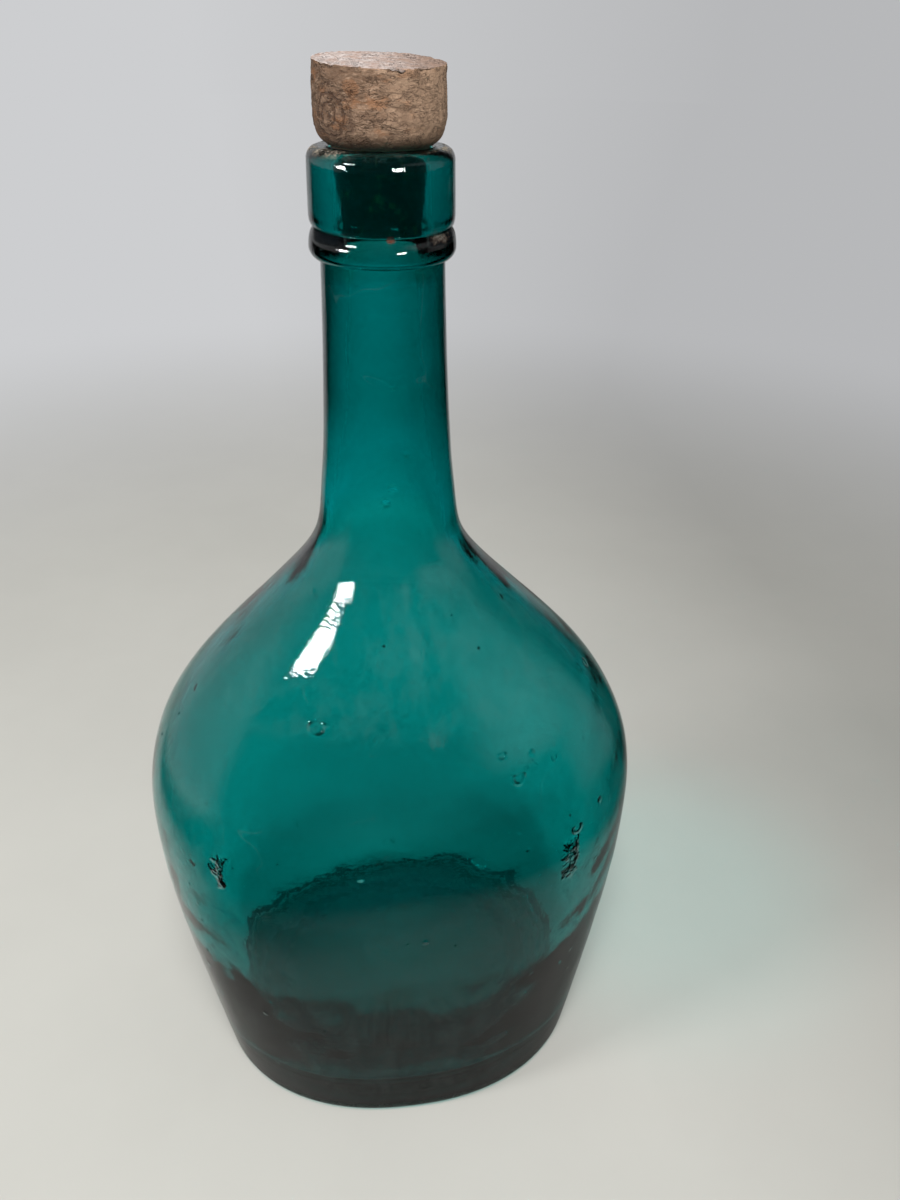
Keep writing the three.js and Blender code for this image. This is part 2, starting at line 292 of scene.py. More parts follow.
def makeCork(c):
    # Rings up the lower line, rings that reach their share of the way to the knife's plane, and rings in
    # over the cut. A random wave roughens the skin, and a stronger one bites chips out of the rim.
    mouth = glassHigh.z
    full = (c["width"] / 2, mouth + c["swellRise"])
    angle = np.linspace(0, 2 * math.pi, c["columns"], endpoint=False)
    cosines, sines = np.cos(angle)[None], np.sin(angle)[None]
    lower = lowerCork(c, full, mouth)
    rings = [np.stack([lower[:, :1] * cosines, lower[:, :1] * sines, lower[:, 1:] + 0 * cosines], -1)]

    def ringsAt(radius, heightOf):
        x, y = radius * cosines, radius * sines
        rings.append(np.stack([x, y, heightOf(cutHeight(c, x, y))], -1))

    share = np.linspace(0, 1, c["sideRows"])[1:, None]
    ringsAt(full[0] - c["topTaper"] * share, lambda cut: full[1] + share * (cut - c["rimRound"] - full[1]))
    edge = np.linspace(0, math.pi / 2, c["rimRows"])[1:, None]
    rimRadius = full[0] - c["topTaper"] - c["rimRound"] * (1 - np.cos(edge))
    ringsAt(rimRadius, lambda cut: cut - c["rimRound"] * (1 - np.sin(edge)))
    ringsAt(rimRadius[-1] * np.linspace(1, c["poleShare"], c["topRows"])[1:, None], lambda cut: cut)
    points = np.concatenate(rings)
    onCut = np.zeros(points.shape[:2])
    onCut[-len(rings[-1]) - c["rimRowsOnCut"]:] = 1
    x, y, z = points[..., 0], points[..., 1], points[..., 2]
    fromRim = (np.hypot(x, y) - full[0]) ** 2 + (z - cutHeight(c, x, y)) ** 2
    free = ease(z, mouth + c["roughFrom"], mouth + c["roughTo"])
    rough = c["rough"] * free * (ripples(points, c["skinWaves"]) + c["roughTop"])
    bite = np.maximum(ripples(points, c["chipWaves"]) - c["chipLevel"], 0)
    chips = c["chip"] * np.exp(-fromRim / c["chipReach"] ** 2) * bite
    points = points - gridNormals(points) * (rough + chips)[..., None]
    return sheetMesh("corkStopper", points, firstPole=True, lastPole=True, masks={"cut": onCut})


stopper = makeCork(cork)
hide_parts("cork_stopper")
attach(stopper, "stopper")
print("cork:", len(stopper.data.polygons), "faces")

# Shader helpers: nodes, and the sums and masks that are made of them


def feed(tree, node, values):
    # each socket given a value, or a link from another node
    for socket, value in values.items():
        if isinstance(value, bpy.types.NodeSocket):
            tree.links.new(value, node.inputs[socket])
        else:
            node.inputs[socket].default_value = value
    return node


def addNode(tree, kind, values=None, **settings):
    node = tree.nodes.new(kind)
    for key, value in settings.items():
        setattr(node, key, value)
    return feed(tree, node, values or {})


def mathNode(tree, operation, *values, clamp=False):
    settings = dict(operation=operation, use_clamp=clamp)
    return addNode(tree, "ShaderNodeMath", dict(enumerate(values)), **settings).outputs[0]


def times(tree, first, *others):
    # the product of them all
    for other in others:
        first = mathNode(tree, "MULTIPLY", first, other)
    return first


def most(tree, first, *others):
    # the largest of them
    for other in others:
        first = mathNode(tree, "MAXIMUM", first, other)
    return first


def lessOf(tree, whole, value):
    # the whole less the value
    return mathNode(tree, "SUBTRACT", whole, value)


def absolute(tree, value):
    # the value without its sign
    return mathNode(tree, "ABSOLUTE", value)


def scaled(tree, value, factor, added):
    # value times factor, plus added
    return mathNode(tree, "MULTIPLY_ADD", value, factor, added)


def between(tree, value, low, high):
    # 0 below low, 1 above high, and 3t^2 - 2t^3 on the way
    return addNode(tree, "ShaderNodeMapRange", {"Value": value, "From Min": low, "From Max": high},
                   interpolation_type="SMOOTHSTEP").outputs["Result"]


def band(tree, value, start, full, fade, end):
    # 0 outside start to end and 1 from full to fade
    return times(tree, between(tree, value, start, full), between(tree, value, end, fade))


def remap(tree, value, fromLow, fromHigh, toLow=0.0, toHigh=1.0):
    # a straight line from toLow at fromLow to toHigh at fromHigh, level beyond them
    return addNode(tree, "ShaderNodeMapRange", {"Value": value, "From Min": fromLow, "From Max": fromHigh,
                                                "To Min": toLow, "To Max": toHigh}).outputs["Result"]


def vectorNode(tree, operation, first, second=None):
    # a vector sum, or the number that some of them give
    values = {0: first} if second is None else {0: first, 1: second}
    node = addNode(tree, "ShaderNodeVectorMath", values, operation=operation)
    return node.outputs["Value" if operation in ("DISTANCE", "LENGTH", "DOT_PRODUCT") else "Vector"]


def axes(tree, vector):
    # its x, y and z
    return addNode(tree, "ShaderNodeSeparateXYZ", {0: vector}).outputs


def mixColours(tree, share, first, second, blend="MIX"):
    values = {0: share, 6: first, 7: second}
    return addNode(tree, "ShaderNodeMix", values, data_type="RGBA", blend_type=blend).outputs[2]


def colour(red, green, blue):
    # sRGB numbers from 0 to 255 as the linear colour that Blender keeps:
    # ((c + 0.055) / 1.055)^2.4, or c / 12.92 when dark
    c = [v / 255 for v in (red, green, blue)]
    return tuple(((v + 0.055) / 1.055) ** 2.4 if v > 0.04045 else v / 12.92 for v in c) + (1,)


def noise(tree, place, scale, detail=3.0, roughness=0.5, distortion=0.0):
    return addNode(tree, "ShaderNodeTexNoise", {
        "Vector": place, "Scale": scale, "Detail": detail, "Roughness": roughness, "Distortion": distortion,
    }).outputs["Fac"]


def relief(tree, height, depth, under=None):
    # the height times the depth in metres as a bump, on top of the one under it
    values = {"Height": height, "Strength": 1.0, "Distance": depth}
    if under is not None:
        values["Normal"] = under
    return addNode(tree, "ShaderNodeBump", values).outputs[0]


def newGroup(name, inputs, outputs):
    # the group, what it is given and what it has to put out
    group = bpy.data.node_groups.new(name, "ShaderNodeTree")
    for socket, (kind, value) in inputs.items():
        made = group.interface.new_socket(socket, in_out="INPUT", socket_type="NodeSocket" + kind)
        if value is not None:
            made.default_value = value
    for socket, kind in outputs.items():
        group.interface.new_socket(socket, in_out="OUTPUT", socket_type="NodeSocket" + kind)
    return group, group.nodes.new("NodeGroupInput").outputs, group.nodes.new("NodeGroupOutput").inputs


def newMaterial(name):
    # the material, its nodes, its shader, its output and the place on the piece
    material = bpy.data.materials.new(name)
    material.use_nodes = True
    tree = material.node_tree
    place = addNode(tree, "ShaderNodeTexCoord").outputs["Object"]
    return material, tree, tree.nodes["Principled BSDF"], tree.nodes["Material Output"], place


def makeDustGroup():
    # Dust in patches: 0.65 of a coarse cloud and 0.35 of a fine one, kept where the sum is above 1 - cover.
    group, given, wanted = newGroup("dustPatches", {
        "Place": ("Vector", None), "Patch": ("Float", 40.0), "Grain": ("Float", 900.0),
        "Cover": ("Float", 0.5)}, {"Mask": "Float"})
    coarse = noise(group, given["Place"], given["Patch"], 4, 0.6)
    fine = noise(group, given["Place"], given["Grain"], 2, 0.6)
    edge = lessOf(group, 1.0, given["Cover"])
    level = scaled(group, fine, 0.35, times(group, coarse, 0.65))
    group.links.new(between(group, level, edge, mathNode(group, "ADD", edge, 0.12)), wanted["Mask"])
    return group


dustPatches = makeDustGroup()


def dust(tree, place, patch, grain, cover):
    # the group in a material, with this material's own values
    return addNode(tree, "ShaderNodeGroup", {"Place": place, "Patch": patch, "Grain": grain, "Cover": cover},
                   node_tree=dustPatches).outputs["Mask"]


# The glass. A noise is its scale, detail, roughness and distortion, and a depth is in metres

glassFinish = dict(
    shadow=(0.50, 0.79, 0.78, 1),  # what each surface lets through for the shadow
    roughness=(0.0, 0.02), film=(22.0, 700.0, 0.40),  # clean glass, and where a greasy film dulls it
    innerShift=(0.31, 0, 0.17),  # gives the inner wall a pattern of its own
    swirl=(14.0, 2, 0.45, 0.4), swirlDepth=0.0004,  # long waves of the blown wall
    streak=(9.0, 4, 0.55, 0.3), streakDepth=0.00008, streakStretch=(6, 6, 11),  # lines down from the neck
    pebble=(650.0, 3, 0.5), pebbleDepth=0.000009,  # fine dimples
    seeds=230.0, seedRarity=0.985, seedSize=0.32, seedDepth=0.00035,  # small bubbles
    # rough skin in the calm place
    torn=(620.0, 1, 0.5), tornDepth=0.00002, tornStretch=(1, 1, 2.2), tornReach=(0.024, 0.008),
    # loop marks: place and size, and shares of the size for the line, the cut at the top and the depth
    marks=((-0.0219, -0.0367, 0.1514, 0.0021), (0.0262, -0.0418, 0.1416, 0.0011),
           (0.0565, -0.0094, 0.1466, 0.0013), (0.0305, -0.0440, 0.1352, 0.0017),
           (0.0488, -0.0429, 0.1135, 0.0016), (0.0414, -0.0386, 0.1368, 0.0009)),
    markLine=0.45, markCut=(0.7, 0.2), markDepth=0.35,
    # bundles of folds: place, height and width, how far they wander, and shares of height, height and width
    folds=((0.047, -0.042, 0.102, 0.0080, 0.0019), (-0.0505, -0.038, 0.106, 0.0060, 0.0016)),
    wander=(260.0, 2, 0.5), wanderReach=0.006, foldFade=0.6, foldReach=1.6, foldDepth=0.5,
    # a darker tint: a ring above the foot, painted shade in streaks on the front of the heel, and a darker
    # lip and bead
    darkTintAndShade=colour(84, 112, 106), ringHeight=(0.0, 0.0004, 0.0012, 0.0030),
    heelShadeHeight=(0.016, 0.012), heelShadeFront=(-0.012, -0.032), heelShadeStreaks=(0.35, 0.65), heelShadeShare=0.5,
    darkTopHeight=(0.256, 0.264), darkTopShare=0.13,
)


def bubbles(tree, place, f):
    # A few of the Voronoi cells hold a bubble, a round bump that fades away from the cell's point.
    cells = addNode(tree, "ShaderNodeTexVoronoi", {"Vector": place, "Scale": f["seeds"]})
    draw = addNode(tree, "ShaderNodeSeparateColor", {0: cells.outputs["Color"]}).outputs[0]
    chosen = mathNode(tree, "GREATER_THAN", draw, f["seedRarity"])
    away = between(tree, cells.outputs["Distance"], 0.0, f["seedSize"])
    return times(tree, chosen, lessOf(tree, 1.0, away))


def streaks(tree, place, f):
    # Noise over the direction from the axis plus the stretched place, which draws it out up and down.
    around = vectorNode(tree, "NORMALIZE", vectorNode(tree, "MULTIPLY", place, (1, 1, 0)))
    upward = vectorNode(tree, "MULTIPLY", place, f["streakStretch"])
    return noise(tree, vectorNode(tree, "ADD", around, upward), *f["streak"])


def loopMark(tree, place, f, spot, width):
    # A thin ring at this distance from the spot, open at the top.
    ring = absolute(tree, lessOf(tree, vectorNode(tree, "DISTANCE", place, spot), width))
    rise = lessOf(tree, axes(tree, place)[2], spot[2])
    high, low = f["markCut"]
    return times(tree, between(tree, ring, width * f["markLine"], 0.0),
                 between(tree, rise, width * high, width * low))


def foldMask(tree, place, f, wander, spot, tall, wide):
    # A crooked crease down through the spot: where the way along the wall plus the wander is near 0.
    offset = vectorNode(tree, "SUBTRACT", place, spot)
    aside = vectorNode(tree, "DOT_PRODUCT", offset, Vector((-spot[1] * 2, spot[0], 0)).normalized())
    crooked = mathNode(tree, "ADD", aside, scaled(tree, wander, 2 * f["wanderReach"], -f["wanderReach"]))
    rise = absolute(tree, axes(tree, offset)[2])
    return times(tree, between(tree, absolute(tree, crooked), wide, 0.0),
                 between(tree, rise, tall, tall * f["foldFade"]),
                 between(tree, vectorNode(tree, "LENGTH", offset), tall * f["foldReach"], tall))


def darkTintAndShadeMask(tree, place, f, inner, streak):
    # The strongest of the ring above the foot, the painted shade on the heel and the darker top, on the
    # outside only.
    _, y, z = axes(tree, place)
    ring = band(tree, z, *f["ringHeight"])
    # painted shade on the front of the heel, where the table under the foot lies in shade, broken into
    # streaks
    heel = times(tree, between(tree, z, *f["heelShadeHeight"]), between(tree, y, *f["heelShadeFront"]),
                 scaled(tree, between(tree, streak, *f["heelShadeStreaks"]), f["heelShadeShare"], 1 - f["heelShadeShare"]))
    darkTop = times(tree, between(tree, z, *f["darkTopHeight"]), f["darkTopShare"])
    return times(tree, most(tree, ring, heel, darkTop), between(tree, inner, 0.5, 0.0))


def makeGlassMaterial(g, f):
    # Clear glass whose colour is absorbed on the way through it, its reliefs one on top of the other.
    material, tree, shader, output, place = newMaterial("tealGlass")
    inner = addNode(tree, "ShaderNodeAttribute", attribute_name="inside").outputs["Fac"]
    own = vectorNode(tree, "ADD", place, vectorNode(tree, "MULTIPLY", inner, f["innerShift"]))
    streak = streaks(tree, own, f)
    normal = relief(tree, noise(tree, own, *f["swirl"]), f["swirlDepth"])
    normal = relief(tree, streak, f["streakDepth"], normal)
    for x, y, z, width in f["marks"]:
        normal = relief(tree, loopMark(tree, place, f, (x, y, z), width), width * f["markDepth"], normal)
    wander = noise(tree, place, *f["wander"])
    for x, y, z, tall, wide in f["folds"]:
        fold = foldMask(tree, place, f, wander, (x, y, z), tall, wide)
        normal = relief(tree, fold, wide * f["foldDepth"], normal)
    normal = relief(tree, noise(tree, own, *f["pebble"]), f["pebbleDepth"], normal)
    normal = relief(tree, bubbles(tree, own, f), f["seedDepth"], normal)
    calm = between(tree, vectorNode(tree, "DISTANCE", place, g["calmPlace"]), *f["tornReach"])
    torn = noise(tree, vectorNode(tree, "MULTIPLY", place, f["tornStretch"]), *f["torn"])
    normal = relief(tree, times(tree, torn, calm), f["tornDepth"], normal)
    # the glass colour takes the darker tint, with the painted shade on the heel
    darkTintAndShade = mixColours(tree, darkTintAndShadeMask(tree, place, f, inner, streak), (1, 1, 1, 1), f["darkTintAndShade"])
    rough = remap(tree, dust(tree, own, *f["film"]), 0.0, 1.0, *f["roughness"])
    feed(tree, shader, {"Base Color": darkTintAndShade, "Metallic": 0.0, "Roughness": rough, "IOR": 1.5,
                        "Transmission Weight": 1.0, "Normal": normal})
    clear = addNode(tree, "ShaderNodeBsdfTransparent", {"Color": f["shadow"]})
    shadow = addNode(tree, "ShaderNodeLightPath").outputs["Is Shadow Ray"]
    mix = addNode(tree, "ShaderNodeMixShader", {0: shadow, 1: shader.outputs[0], 2: clear.outputs[0]})
    body = addNode(tree, "ShaderNodeVolumeAbsorption", {"Color": (*g["tint"], 1), "Density": g["density"]})
    feed(tree, output, {"Surface": mix.outputs[0], "Volume": body.outputs[0]})
    return material


bottle.data.materials.append(makeGlassMaterial(glass, glassFinish))

# Dried dirt and painted dark reflection, a thin film just off the glass, clear where there is none

dirtAndDarkReflection = dict(
    below=0.00006,  # this far inside the drawn surface
    firstPoint=150,  # of the outside line: past the push-up and the heel
    lipEdge=0.0004, mouthGap=0.0022,  # it stops this far below the top or away from the mouth
    rows=230, columns=180,
    toneEdge=(0.02, 0.1),  # how strong a mask is where its colour takes over
    # dust on the lip, more on its left and right
    lime=colour(150, 140, 126), limePatches=(150.0, 2200.0, 0.52), limeHeight=(0.2822, 0.2838),
    limeSides=(0.0070, 0.0100), limeCover=(0.75, 0.12),
    # crust in the groove under the lip, thick at the right
    crust=colour(104, 100, 92), brown=colour(70, 52, 42), crustPatches=(260.0, 2600.0, 0.50),
    crustHeight=(0.2646, 0.2664, 0.2674, 0.2692), crustSlant=-0.6, crustSide=(0.0145, 0.0180),
    crustCover=(0.75, 0.03),
    # one rusty spot
    rust=colour(96, 54, 42), rustPlace=(0.0006, -0.0157, 0.2672), rustEdge=(0.0017, 0.0012), rustCover=0.75,
    rustNoise=(900.0, 2), rustWander=0.0012, rustToneEdge=(0.02, 0.25),
    # painted dark reflection, left and right in the groove
    darkReflection=colour(6, 14, 18), darkReflectionHeight=(0.2650, 0.2658, 0.2674, 0.2682), darkReflectionFront=(0.0, -0.004),
    darkReflectionSides=(0.0085, 0.0115, 0.0150, 0.0162), darkReflectionCover=0.70, darkReflectionToneEdge=(0.02, 0.2),
    # specks in some Voronoi cells, of random sizes
    speck=colour(20, 34, 32), specks=120.0, speckSize=(0.045, 0.025), speckRarity=0.45, speckCover=0.75,
    # scratches along a level line of a noise, where a second noise lets them be
    scratches=(26.0, 2, 0.5, 1.2), scratchWidth=(0.0035, 0.0012), scratchPlaces=(60.0, 1),
    scratchEdge=(0.50, 0.56), scratchCover=0.035,
    # a dull cloudy film on the shoulder, the foot and the sides, at the front
    haze=colour(150, 170, 166), cloud=(150.0, 6, 0.70, 0.5), cloudStretch=(1, 1, 0.45),
    cloudEdge=(0.42, 0.64), cloudGrain=(1500.0, 2, 0.6), cloudGrainShare=(1.2, -0.1), cloudCover=0.055,
    cloudShoulder=(0.146, 0.152), cloudFoot=(0.060, 0.040), cloudSides=(0.045, 0.060),
    cloudFront=(0.015, -0.010), cloudTop=(0.20, 0.17),
)


def makeDirtAndDarkReflectionFilm(g, d):
    # The outside line from the heel to the lip, revolved and moved in by d, as one open sheet.
    line = outsideLine(g)
    onLip = (line[:, 1] < glassHigh.z - d["lipEdge"]) | (line[:, 0] > g["mouthWidth"] / 2 + d["mouthGap"])
    line = spread(line[(np.arange(len(line)) > d["firstPoint"]) & onLip], d["rows"], g["turnWeight"])
    angle = np.linspace(0, 2 * math.pi, d["columns"], endpoint=False)[None, :]
    points = ovalRing(g, line[:, :1], line[:, 1:], angle)
    return sheetMesh("surfaceDirtAndDarkReflection", points - gridNormals(points) * d["below"])


def speckMask(tree, place, d):
    # A disc around the point of a Voronoi cell, whose colour draws its size and whether it is there.
    cells = addNode(tree, "ShaderNodeTexVoronoi", {"Vector": place, "Scale": d["specks"]})
    draw = addNode(tree, "ShaderNodeSeparateColor", {0: cells.outputs["Color"]}).outputs
    disc = mathNode(tree, "LESS_THAN", cells.outputs["Distance"], scaled(tree, draw[1], *d["speckSize"]))
    return times(tree, disc, mathNode(tree, "GREATER_THAN", draw[0], d["speckRarity"]))


def scratchMask(tree, place, d):
    # Where one noise is near its middle, and another is high enough.
    curve = absolute(tree, lessOf(tree, noise(tree, place, *d["scratches"]), 0.5))
    return times(tree, between(tree, curve, *d["scratchWidth"]),
                 between(tree, noise(tree, place, *d["scratchPlaces"]), *d["scratchEdge"]))


def cloudMask(tree, place, d):
    # Two noises multiplied, then by the places where the film lies.
    x, y, z = axes(tree, place)
    tall = vectorNode(tree, "MULTIPLY", place, d["cloudStretch"])
    cloud = times(tree, between(tree, noise(tree, tall, *d["cloud"]), *d["cloudEdge"]),
                  scaled(tree, noise(tree, place, *d["cloudGrain"]), *d["cloudGrainShare"]))
    where = most(tree, between(tree, z, *d["cloudShoulder"]), between(tree, z, *d["cloudFoot"]),
                 between(tree, absolute(tree, x), *d["cloudSides"]))
    return times(tree, cloud, where, between(tree, y, *d["cloudFront"]), between(tree, z, *d["cloudTop"]),
                 d["cloudCover"])


def makeDirtAndDarkReflectionMaterial(d):
    # Each kind of dirt, and the painted dark reflection, is a mask. The film is as dense as the strongest,
    # and later colours lie over earlier.
    material, tree, shader, _, place = newMaterial("driedDirtAndDarkReflection")
    x, y, z = axes(tree, place)
    aside = absolute(tree, x)
    lip = times(tree, between(tree, z, *d["limeHeight"]), dust(tree, place, *d["limePatches"]),
                scaled(tree, between(tree, aside, *d["limeSides"]), *d["limeCover"]))
    flakes = dust(tree, place, *d["crustPatches"])
    right = between(tree, scaled(tree, y, d["crustSlant"], x), *d["crustSide"])
    groove = times(tree, band(tree, z, *d["crustHeight"]), flakes, scaled(tree, right, *d["crustCover"]))
    fromSpot = scaled(tree, noise(tree, place, *d["rustNoise"]), d["rustWander"],
                      vectorNode(tree, "DISTANCE", place, d["rustPlace"]))
    spot = times(tree, between(tree, fromSpot, *d["rustEdge"]), d["rustCover"])
    # painted dark reflection on the bead beside the groove
    darkReflection = times(tree, band(tree, z, *d["darkReflectionHeight"]), between(tree, y, *d["darkReflectionFront"]),
                 band(tree, aside, *d["darkReflectionSides"]))
    speck = speckMask(tree, place, d)
    tone, crust = d["haze"], mixColours(tree, flakes, d["brown"], d["crust"])
    for mask, edge, over in ((darkReflection, "darkReflectionToneEdge", d["darkReflection"]), (lip, "toneEdge", d["lime"]),
                             (groove, "toneEdge", crust), (spot, "rustToneEdge", d["rust"])):
        tone = mixColours(tree, between(tree, mask, *d[edge]), tone, over)
    tone = mixColours(tree, speck, tone, d["speck"])
    alpha = most(tree, lip, groove, spot, times(tree, darkReflection, d["darkReflectionCover"]),
                 times(tree, speck, d["speckCover"]), cloudMask(tree, place, d),
                 times(tree, scratchMask(tree, place, d), d["scratchCover"]))
    feed(tree, shader, {"Base Color": tone, "Alpha": alpha, "Roughness": 0.85, "Specular IOR Level": 0.1})
    return material


film = makeDirtAndDarkReflectionFilm(glass, dirtAndDarkReflection)
film.data.materials.append(makeDirtAndDarkReflectionMaterial(dirtAndDarkReflection))
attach(film, "bottle")
print("dirt film:", len(film.data.polygons), "faces")

# The cork's skin and its cut face

corkFinish = dict(
    # the skin: a cloud of light and dark, a fine grain, orange stains, flakes' edges, painted shade on the
    # left side and painted light on the right side
    light=colour(194, 163, 137), dark=colour(86, 64, 50), cloud=(250.0, 6, 0.66, 0.8),
    cloudEdge=(0.37, 0.60), middle=colour(136, 108, 87), grain=(1300.0, 3, 0.65), grainEdge=(0.30, 0.75),
    orange=colour(164, 112, 74), stain=(150.0, 4, 0.6), stainEdge=(0.54, 0.66), stainShare=0.65,
    stretch=(1.0, 1.0, 2.4), crack=colour(62, 40, 29), crackShare=0.72,
    flakes=((130.0, 4, 0.55, 1.6, 0.014), (230.0, 4, 0.55, 2.4, 0.018)),  # noises and width of line
    flakeGaps=(300.0, 2), flakeGapEdge=(0.42, 0.56), flakeCore=0.15,
    leftShade=(0.002, -0.013), leftShare=0.50,
    paleLight=colour(194, 161, 134), rightLight=(-0.006, 0.013), rightShare=0.70,
    # darker just above the mouth, and very dark with olive patches below it
    squeezed=colour(84, 56, 34), squeezedHeight=(0.2834, 0.2876), squeezedShare=0.80,
    belowMouthDark=colour(12, 9, 6), olive=colour(94, 84, 42), belowMouthHeight=(0.2828, 0.2842), belowMouthShare=0.92,
    olivePatches=(210.0, 5, 0.70), oliveEdge=(0.53, 0.75),
    # the knife's face
    cutLight=colour(208, 195, 189), cutDark=colour(166, 140, 127), cutNoise=(300.0, 5, 0.7),
    cutEdge=(0.35, 0.60), cutShade=colour(146, 120, 104), cutShadeEdge=(-0.004, 0.013), cutShadeShare=0.85,
    cutLineShare=0.30,
    # place and size of knots, ringed or plain orange, and how crooked they are
    knots=((-0.0112, -0.0095, 0.2905, 0.0068, True), (-0.0070, -0.0129, 0.2958, 0.0022, False),
           (0.0055, -0.0136, 0.2990, 0.0020, False)),
    knotWarp=(330.0, 3, 0.6), knotWander=0.0018, knotFade=0.7, knotShare=0.5,
    ringSpacing=0.26, ringEdge=(0.35, 0.95),  # a share of the knot's size
    cloudRelief=0.6, grainRelief=0.25, lineRelief=0.4, depth=0.0007, roughness=(0.70, 0.95),
)


def flakeLines(tree, place, stretched, f):
    # Level lines of two warped clouds, where a third lets them be: the edges of bark flakes.
    line = 0.0
    for scale, detail, roughness, warp, thick in f["flakes"]:
        level = absolute(tree, lessOf(tree, noise(tree, stretched, scale, detail, roughness, warp), 0.5))
        line = most(tree, line, between(tree, level, thick, thick * f["flakeCore"]))
    return times(tree, line, between(tree, noise(tree, place, *f["flakeGaps"]), *f["flakeGapEdge"]))


def makeCorkMaterial(f):
    # Colours laid over each other for the skin and for the face, with cloud, grain and lines as relief.
    material, tree, shader, _, place = newMaterial("agedCork")
    onCut = addNode(tree, "ShaderNodeAttribute", attribute_name="cut").outputs["Fac"]
    across, _, height = axes(tree, place)
    stretched = addNode(tree, "ShaderNodeMapping", {"Vector": place, "Scale": f["stretch"]}).outputs[0]
    cloud, grain = noise(tree, stretched, *f["cloud"]), noise(tree, stretched, *f["grain"])
    line = flakeLines(tree, place, stretched, f)

    def cover(under, over, mask, share):
        return mixColours(tree, times(tree, mask, share), under, over)

    skin = mixColours(tree, between(tree, cloud, *f["cloudEdge"]), f["dark"], f["light"])
    skin = mixColours(tree, between(tree, grain, *f["grainEdge"]), f["middle"], skin)
    stain = between(tree, noise(tree, stretched, *f["stain"]), *f["stainEdge"])
    skin = cover(skin, f["orange"], stain, f["stainShare"])
    warp = noise(tree, place, *f["knotWarp"])
    for x, y, z, width, ringed in f["knots"]:
        away = mathNode(tree, "ADD", vectorNode(tree, "DISTANCE", place, (x, y, z)),
                        scaled(tree, warp, 2 * f["knotWander"], -f["knotWander"]))
        inside = between(tree, away, width, width * f["knotFade"])
        if ringed:
            rings = mathNode(tree, "SINE", times(tree, away, 2 * math.pi / (width * f["ringSpacing"])))
            line = most(tree, line, times(tree, inside, between(tree, rings, *f["ringEdge"])))
        else:
            skin = cover(skin, f["orange"], inside, f["knotShare"])
    skin = cover(skin, f["crack"], line, f["crackShare"])
    # painted shade on the left side and painted light on the right side of the skin
    skin = cover(skin, f["dark"], between(tree, across, *f["leftShade"]), f["leftShare"])
    skin = cover(skin, f["paleLight"], between(tree, across, *f["rightLight"]), f["rightShare"])
    nearMouth = lessOf(tree, 1.0, between(tree, height, *f["squeezedHeight"]))
    skin = cover(skin, f["squeezed"], nearMouth, f["squeezedShare"])
    belowMouthTone = between(tree, noise(tree, place, *f["olivePatches"]), *f["oliveEdge"])
    belowMouthTone = mixColours(tree, belowMouthTone, f["belowMouthDark"], f["olive"])
    skin = cover(skin, belowMouthTone, lessOf(tree, 1.0, between(tree, height, *f["belowMouthHeight"])), f["belowMouthShare"])
    face = between(tree, noise(tree, place, *f["cutNoise"]), *f["cutEdge"])
    face = mixColours(tree, face, f["cutDark"], f["cutLight"])
    face = cover(face, f["cutShade"], between(tree, across, *f["cutShadeEdge"]), f["cutShadeShare"])
    face = cover(face, f["dark"], line, f["cutLineShare"])
    rise = scaled(tree, cloud, f["cloudRelief"], times(tree, grain, f["grainRelief"]))
    rise = lessOf(tree, rise, times(tree, line, f["lineRelief"]))
    feed(tree, shader, {"Base Color": mixColours(tree, onCut, skin, face), "Specular IOR Level": 0.35,
                        "Roughness": remap(tree, grain, 0.0, 1.0, *f["roughness"]),
                        "Normal": relief(tree, rise, f["depth"])})
    return material


stopper.data.materials.append(makeCorkMaterial(corkFinish))
print("materials made")

# The studio: floor, far walls, lamps and camera

